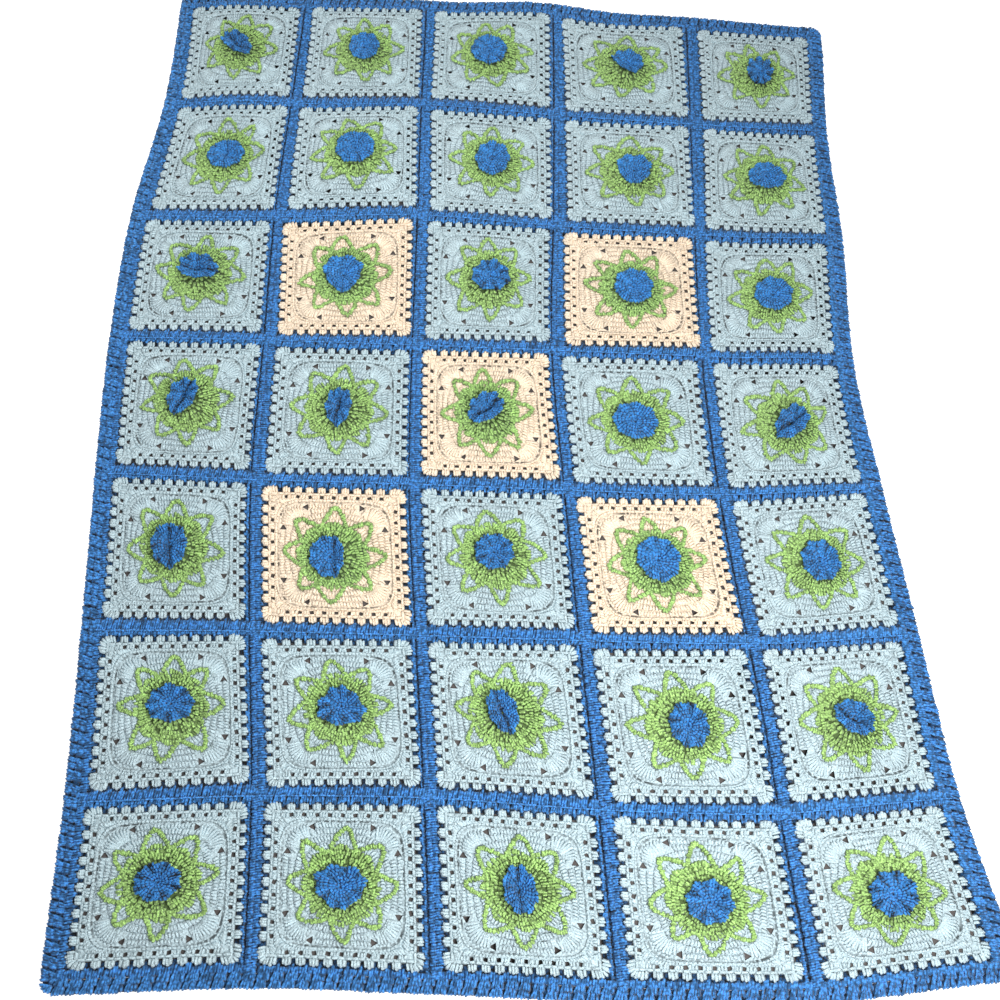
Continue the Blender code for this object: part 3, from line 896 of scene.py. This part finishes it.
def yarn_group():
    """Node group: plied cotton yarn, with painted shade between the stitches, and the ply and grain as height."""
    inputs = {"Yarn": None, "Deep": None, "Ply length": 1.9, "Mottle": 0.1, "Grain": 0.4, "Grain scale": 430.0}
    nodes = new_group("Plied yarn", inputs, {"Color": None, "Height": 0.0, "Roughness": 0.0})
    maths = nodes.maths
    given = nodes.add("NodeGroupInput").outputs
    tone, depth = nodes.attribute("tone")["Fac"], nodes.attribute("depth")["Fac"]
    place = nodes.add("ShaderNodeTexCoord").outputs["Object"]
    # the ply: slanted ribs along the strand
    aside, along, _ = nodes.add("ShaderNodeSeparateXYZ", nodes.attribute("strand")["Vector"]).outputs
    turns = maths("DIVIDE", maths("ADD", along, maths("MULTIPLY", aside, 0.9)), given["Ply length"])
    rib = maths("SINE", maths("MULTIPLY", turns, 6.28318))
    grain = nodes.add("ShaderNodeTexVoronoi", place, None, given["Grain scale"]).outputs["Distance"]
    loop = nodes.ramp(grain, 0.2, 0.75, 1.0, 0.0, smooth=True)
    height = maths("MULTIPLY_ADD", rib, 0.2, loop)
    # colour: painted shade at the foot of each stitch, its own tone, a slow mottle and the grain
    mixed = nodes.mixed(nodes.ramp(depth, 0.05, 0.92, smooth=True), given["Deep"], given["Yarn"])
    cloud = nodes.add("ShaderNodeTexNoise", place, None, 18.0, 3.0).outputs[0]
    mottle = maths("MULTIPLY", maths("SUBTRACT", cloud, 0.5), given["Mottle"])
    grained = maths("MULTIPLY_ADD", loop, given["Grain"], maths("ADD", mottle, tone))
    level = maths("ADD", grained, maths("MULTIPLY_ADD", given["Grain"], -0.6, 1.0))
    nodes.add("NodeGroupOutput", nodes.scaled(mixed, level), height, nodes.ramp(depth, 0.0, 1.0, 0.95, 0.78))
    return nodes.tree


def rounds_group():
    """Node group: painted shade on a square's thin base, in dashed shadows along the groove inside the ridge and
    under the flower."""
    nodes = new_group("Groove and heart", {}, {"Light": 0.0, "Under leaves": 0.0})
    maths = nodes.maths
    strand = nodes.attribute("strand")["Vector"]
    x, y, _ = nodes.add("ShaderNodeSeparateXYZ", strand).outputs
    powers = [maths("POWER", maths("DIVIDE", maths("ABSOLUTE", part), GROOVE), RIDGE_POWER) for part in (x, y)]
    reach = maths("POWER", maths("ADD", *powers), 1 / RIDGE_POWER)
    line = nodes.ramp(maths("ABSOLUTE", maths("SUBTRACT", reach, 1.0)), 0.9 / GROOVE, 1.7 / GROOVE, 1.0, 0.0)
    place = nodes.add("ShaderNodeTexCoord").outputs["Object"]
    waver = nodes.add("ShaderNodeTexNoise", place, None, 45.0, 1.0).outputs[0]
    bearing, slide = maths("ARCTAN2", y, x), maths("MULTIPLY", waver, 4.0)
    dash = maths("FRACT", maths("MULTIPLY_ADD", bearing, GROOVE_DASHES / (2 * math.pi), slide))
    # painted shadow: dark dashes along the groove, broken by noise
    painted_darkness = nodes.ramp(dash, 0.62, 0.8, 1.0, 0.15)
    groove = maths("MULTIPLY", line, maths("MULTIPLY", painted_darkness, nodes.ramp(waver, 0.38, 0.62, 0.2, 1.0)))
    length = nodes.add("ShaderNodeVectorMath", strand, operation="LENGTH").outputs["Value"]
    # painted shade under the flower, from the heart out to about 33 mm
    most = maths("MAXIMUM", groove, nodes.ramp(length, 30.5, 33.0, 0.6, 0.0))
    light = maths("MULTIPLY_ADD", most, -0.86, 1.0)
    nodes.add("NodeGroupOutput", light, nodes.ramp(length, 38.0, 40.0, 1.0, 0.0))
    return nodes.tree


def new_material(name, values):
    """A material and its shader, with the shader's own values set."""
    material = bpy.data.materials.new(name)
    material.use_nodes = True
    shader = material.node_tree.nodes["Principled BSDF"]
    for title, value in values.items():
        shader.inputs[title].default_value = value
    return material, shader


def yarn_material(name, colour, deep, grain, loops, leaf):
    """A yarn's own material: how dark its painted shade between stitches is, how strong its grain and how many loops a
    metre; leaf is the painted shade colour of the leaf yarn, put on the thin base under a square beneath the leaf
    ring."""
    values = {"Specular IOR Level": 0.25, "Sheen Weight": 0.15, "Sheen Roughness": 0.5}
    material, shader = new_material(name, values)
    nodes = Nodes(material.node_tree)
    # the second colour is the yarn darkened: the painted shade between stitches
    colours = (*colour, 1), (*[value * deep for value in colour], 1)
    tree = bpy.data.node_groups.get("Plied yarn") or yarn_group()
    yarn = nodes.add("ShaderNodeGroup", *colours, None, None, grain, loops, node_tree=tree).outputs
    base = yarn["Color"]
    if leaf:
        tree = bpy.data.node_groups.get("Groove and heart") or rounds_group()
        rounds = nodes.add("ShaderNodeGroup", node_tree=tree).outputs
        # painted shade: the base is darkened in the groove and under the flower, and takes the shaded leaf colour
        # under the leaf ring
        base = nodes.scaled(nodes.mixed(rounds["Under leaves"], base, (*leaf, 1)), rounds["Light"])
    relief = nodes.add("ShaderNodeBump", 0.8, 0.0008)
    for socket, node, title in (
        (base, shader, "Base Color"),
        (yarn["Roughness"], shader, "Roughness"),
        (yarn["Height"], relief, "Height"),
        (relief.outputs["Normal"], shader, "Normal"),
    ):
        nodes.tree.links.new(socket, node.inputs[title])
    return material


def yarns():
    """All yarn materials by name, made once from the panel's colours; a ground's yarn has one for its base too."""
    colours = bpy.context.scene.blanket_yarns
    # painted shade: the leaf yarn at half its brightness, for the base in the leaf ring's shade
    leaf = tuple(0.5 * value for value in colours.green)
    made = {}
    for name, deep, grain, loops in (
        ("pale", colours.pale_gap_shade, 0.3, 430),
        ("peach", colours.pale_gap_shade, 0.22, 430),
        ("green", colours.leaf_gap_shade, 0.6, 380),
        ("blue", colours.band_gap_shade, 0.9, 270),
        ("flower", colours.gap_shade, 0.4, 330),
    ):
        for part, under in (("yarn", None), ("base", leaf))[: 2 if name in ("pale", "peach") else 1]:
            title = f"{name.capitalize()} {part}"
            found = bpy.data.materials.get(title)
            made[title] = found or yarn_material(title, getattr(colours, name), deep, grain, loops, under)
    return made


COLOUR = {"subtype": "COLOR", "min": 0, "max": 1}
SHARE = {"subtype": "FACTOR", "min": 0, "max": 1}


class BlanketYarns(PropertyGroup):
    pale: FloatVectorProperty(
        name="Pale yarn", description="Ground of most squares", default=(0.53, 0.67, 0.725), **COLOUR
    )
    peach: FloatVectorProperty(
        name="Peach yarn", description="Ground of five squares", default=(0.96, 0.805, 0.63), **COLOUR
    )
    green: FloatVectorProperty(
        name="Leaf yarn", description="Ring and leaf loops", default=(0.38, 0.61, 0.195), **COLOUR
    )
    blue: FloatVectorProperty(
        name="Band yarn", description="Joining bands and border", default=(0.049, 0.222, 0.555), **COLOUR
    )
    flower: FloatVectorProperty(
        name="Flower yarn", description="The flowers", default=(0.039, 0.25, 0.64), **COLOUR
    )
    # The gap shades: how dark the painted shade between stitches is, as a share of the yarn's colour.
    gap_shade: FloatProperty(
        name="Flower gap shade", description="How deep the flower yarn is between stitches", default=0.6, **SHARE
    )
    leaf_gap_shade: FloatProperty(
        name="Leaf gap shade", description="How deep the leaf yarn is between stitches", default=0.45, **SHARE
    )
    band_gap_shade: FloatProperty(
        name="Band gap shade", description="How deep the band yarn is between stitches", default=0.3, **SHARE
    )
    pale_gap_shade: FloatProperty(
        name="Pale gap shade", description="How deep the pale yarns are between stitches", default=0.45, **SHARE
    )


class BlanketStage(PropertyGroup):
    key_power: FloatProperty(
        name="Key light", description="Power of the large light on the near right", default=13.2, min=0, unit="POWER"
    )
    fill_power: FloatProperty(
        name="Fill light", description="Power of the large light over the middle", default=6.9, min=0, unit="POWER"
    )
    surround: FloatProperty(
        name="Surround", description="Strength of the pale surround", default=0.55, min=0, max=5, subtype="FACTOR"
    )
    lens: FloatProperty(name="Lens", description="Focal length in millimetres", default=42.804, min=10, max=200)


class BLANKET_OT_squares(Operator):
    """Works the thirty-five squares: thin base, crochet, leaves and flower"""

    bl_idname = "blanket.squares"
    bl_label = "Granny squares"

    def execute(self, context):
        yarn, stitch, base, pad = yarns(), stitch_form(), square_base_form(), pad_form()
        for number in range(ROWS * COLUMNS):
            row, column = number // COLUMNS + 1, number % COLUMNS + 1
            place, seed = f"r{row}_c{column}", 10 * row + column
            turn, entry = STAR_TURNS[row - 1][column - 1], FLOWERS[row - 1][column - 1]
            kind = "Peach" if (row, column) in PEACH_SQUARES else "Pale"

            def laid(points):
                return at_square(points, row, column)

            # painted shade: the base's depth of 0.7 takes in part of the yarn's shade colour, and its material darkens
            # the groove and heart
            sheet = base_sheet(f"ground_{place}", base, laid, yarn[f"{kind} base"], 0.7, 0.0)
            work = work_ground(Work(1000 + seed))
            rounds = stitched(f"crochet_{place}", work, stitch, laid, yarn[f"{kind} yarn"])
            work = work_leaves(Work(2000 + seed, 0.13), turn, entry[5:])
            leaves = stitched(f"leaves_{place}", work, stitch, laid, yarn["Green yarn"])
            work = work_flower(Work(3000 + seed, 0.13), entry[0])
            points, corners, tones, *rest = with_pad(work.gathered(stitch), pad)
            points, painted_shading = flower_shape(points, entry, row + 2.3 * column)
            tones = tones + painted_shading
            flower = woven(f"flower_{place}", laid(points), corners, tones, *rest, yarn["Flower yarn"])
            stand_for(f"square_{place}", sheet, rounds, leaves, flower)
        return {"FINISHED"}


class BLANKET_OT_bands(Operator):
    """Works the joining bands: thin lattice, slanted rows, raised bands and the outer round"""

    bl_idname = "blanket.bands"
    bl_label = "Joining bands"

    def execute(self, context):
        blue, stitch = yarns()["Blue yarn"], stitch_form()
        # painted shade: the lattice takes the yarn's full shade colour, darkened further, so that it shows as shadow
        # in the gaps
        lattice = base_sheet("bands", lattice_form(), lay, blue, 0.0, -0.45)
        rows = stitched("bands_across", work_seams_across(Work(41, 0.1)), stitch, lay, blue)
        ribs = stitched("bands_along", work_seams_along(Work(42, 0.1)), stitch, lay, blue)
        edge = stitched("bands_outer", work_outer_round(Work(43, 0.1)), stitch, lay, blue)
        stand_for("joining_bands", lattice, rows, ribs, edge)
        return {"FINISHED"}


class BLANKET_OT_border(Operator):
    """Works the border: a thin strip and its two rounds of grouped stitches"""

    bl_idname = "blanket.border"
    bl_label = "Border"

    def execute(self, context):
        blue, stitch = yarns()["Blue yarn"], stitch_form()
        # painted shade: the strip takes the yarn's full shade colour, darkened further, so that the slits show as
        # shadow
        strip = base_sheet("edging", border_form(), lay_from_middle, blue, 0.0, -0.4)
        work = Work(51, 0.12)
        work_border_round(work, 0.0, 7.8, 9.0, 1)
        work_border_round(work, 7.8, EDGE - 0.4, 12.0, 3)
        rounds = stitched("edging_rounds", work, stitch, lay_from_middle, blue)
        stand_for("border", strip, rounds)
        return {"FINISHED"}


class BLANKET_OT_stage(Operator):
    """Sets the pale floor, the soft light and the camera"""

    bl_idname = "blanket.stage"
    bl_label = "Floor, light and camera"

    def execute(self, context):
        scene, stage = context.scene, context.scene.blanket_stage
        floor = added(bpy.ops.mesh.primitive_plane_add, size=FLOOR_SIZE, location=(0, 0, FLOOR_HEIGHT))
        floor.name = "floor"
        bpy.ops.object.transform_apply(location=True, rotation=True, scale=True)
        shade = added(bpy.ops.mesh.primitive_grid_add, x_subdivisions=10, y_subdivisions=14, size=1.0)
        shade.name = "floor_under_blanket"
        flat = np.array([vertex.co for vertex in shade.data.vertices]) * (COLUMNS * PITCH, ROWS * PITCH, 0)
        for vertex, (x, y, _) in zip(shade.data.vertices, lay_from_middle(flat)):
            vertex.co = (x, y, SHADE_HEIGHT)
        white = {"Base Color": (0.93, 0.93, 0.93, 1), "Roughness": 0.9}
        glow = {"Emission Color": (1, 1, 1, 1), "Emission Strength": 0.6}
        # painted shade: a dark patch of floor under the blanket, where its holes show
        painted_darkness = {"Base Color": (0.10, 0.088, 0.085, 1), "Roughness": 0.95}
        floor.data.materials.append(new_material("Pale floor", white | glow)[0])
        shade.data.materials.append(new_material("Shaded floor", painted_darkness)[0])
        for name, power, size, place, aim in (
            ("key", stage.key_power, 0.5, (0.3, -0.8, 0.9), (0.1, -0.2, 0.0)),
            ("fill", stage.fill_power, 0.7, (-0.2, 0.4, 1.0), (-0.16, 0.32, 0.0)),
        ):
            data = bpy.data.lights.new(name, "AREA")
            data.shape, data.size, data.energy = "DISK", size, power
            data.color = (1.0, 0.99, 0.97)
            lamp = bpy.data.objects.new(name, data)
            lamp.location = place
            lamp.rotation_euler = (Vector(aim) - Vector(place)).to_track_quat("-Z", "Y").to_euler()
            scene.collection.objects.link(lamp)
        world = bpy.data.worlds.new("Surround")
        world.use_nodes = True
        surround = world.node_tree.nodes["Background"].inputs
        surround[0].default_value, surround[1].default_value = (0.97, 0.985, 1.0, 1), stage.surround
        scene.world = world
        scene.view_settings.view_transform = "Standard"
        lens = bpy.data.cameras.new("camera")
        lens.lens, lens.sensor_width, lens.clip_end = stage.lens, 36.0, 50.0
        camera = bpy.data.objects.new("camera", lens)
        camera.location = CAMERA_PLACE
        camera.rotation_euler = tuple(math.radians(turn) for turn in CAMERA_TURNS)
        scene.collection.objects.link(camera)
        scene.camera = camera
        return {"FINISHED"}


class BLANKET_PT_panel(Panel):
    """Everything the blanket is made of"""

    bl_label = "Granny square blanket"
    bl_idname = "BLANKET_PT_panel"
    bl_space_type = "VIEW_3D"
    bl_region_type = "UI"
    bl_category = "Blanket"

    def draw(self, context):
        layout = self.layout
        for group in (context.scene.blanket_yarns, context.scene.blanket_stage):
            for key in group.__annotations__:
                layout.prop(group, key)
        for operator in OPERATORS:
            layout.operator(operator.bl_idname)


OPERATORS = (BLANKET_OT_squares, BLANKET_OT_bands, BLANKET_OT_border, BLANKET_OT_stage)
CLASSES = (BlanketYarns, BlanketStage, *OPERATORS, BLANKET_PT_panel)


def register():
    for made in CLASSES:
        bpy.utils.register_class(made)
    bpy.types.Scene.blanket_yarns = PointerProperty(type=BlanketYarns)
    bpy.types.Scene.blanket_stage = PointerProperty(type=BlanketStage)


def unregister():
    del bpy.types.Scene.blanket_stage
    del bpy.types.Scene.blanket_yarns
    for made in reversed(CLASSES):
        bpy.utils.unregister_class(made)


def main():
    register()
    bpy.ops.blanket.squares()
    bpy.ops.blanket.bands()
    bpy.ops.blanket.border()
    bpy.ops.blanket.stage()


if __name__ == "__main__":
    main()
